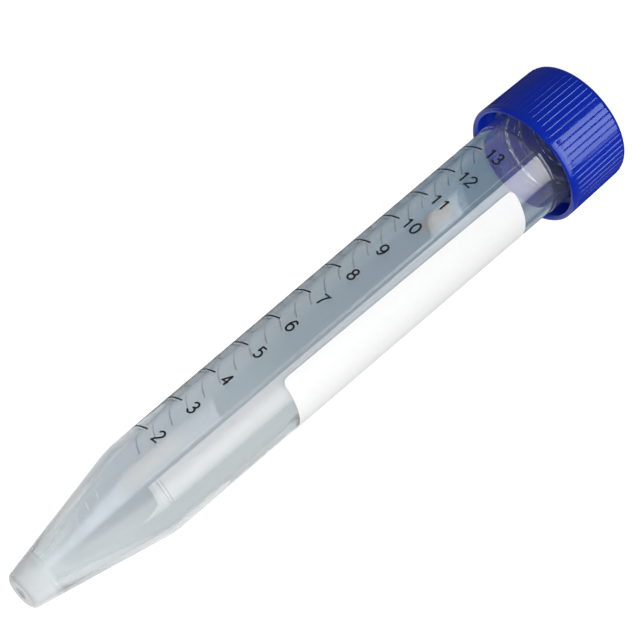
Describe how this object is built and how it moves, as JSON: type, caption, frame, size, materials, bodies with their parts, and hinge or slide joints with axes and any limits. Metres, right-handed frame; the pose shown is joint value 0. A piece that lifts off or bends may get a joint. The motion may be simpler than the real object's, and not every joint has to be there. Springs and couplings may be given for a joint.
{
  "type": "conical centrifuge tube",
  "caption": "Clear conical-bottom lab tube with printed volume graduations and a writing panel, closed by a ribbed blue screw cap and standing upside down on it.",
  "frame": {"origin": "centre of the cap's flat top, which the closed tube stands on", "axes": "+Z along the tube's axis, from the cap's top to the tip of the cone; -Y faces between the printed scale and the writing panel"},
  "size_m": [0.0218, 0.0218, 0.1193],
  "materials": {
    "tube_plastic": "gloss",
    "cap_plastic": "gloss"
  },
  "bodies": {
    "cap": {"cap": "cap_plastic"},
    "tube": {"tube": "tube_plastic"}
  },
  "joints": [
    {"name": "tube_lift", "type": "slide", "parent": "cap", "child": "tube", "axis": [0, 0, 1], "range_m": [0, 0.03]}
  ]
}
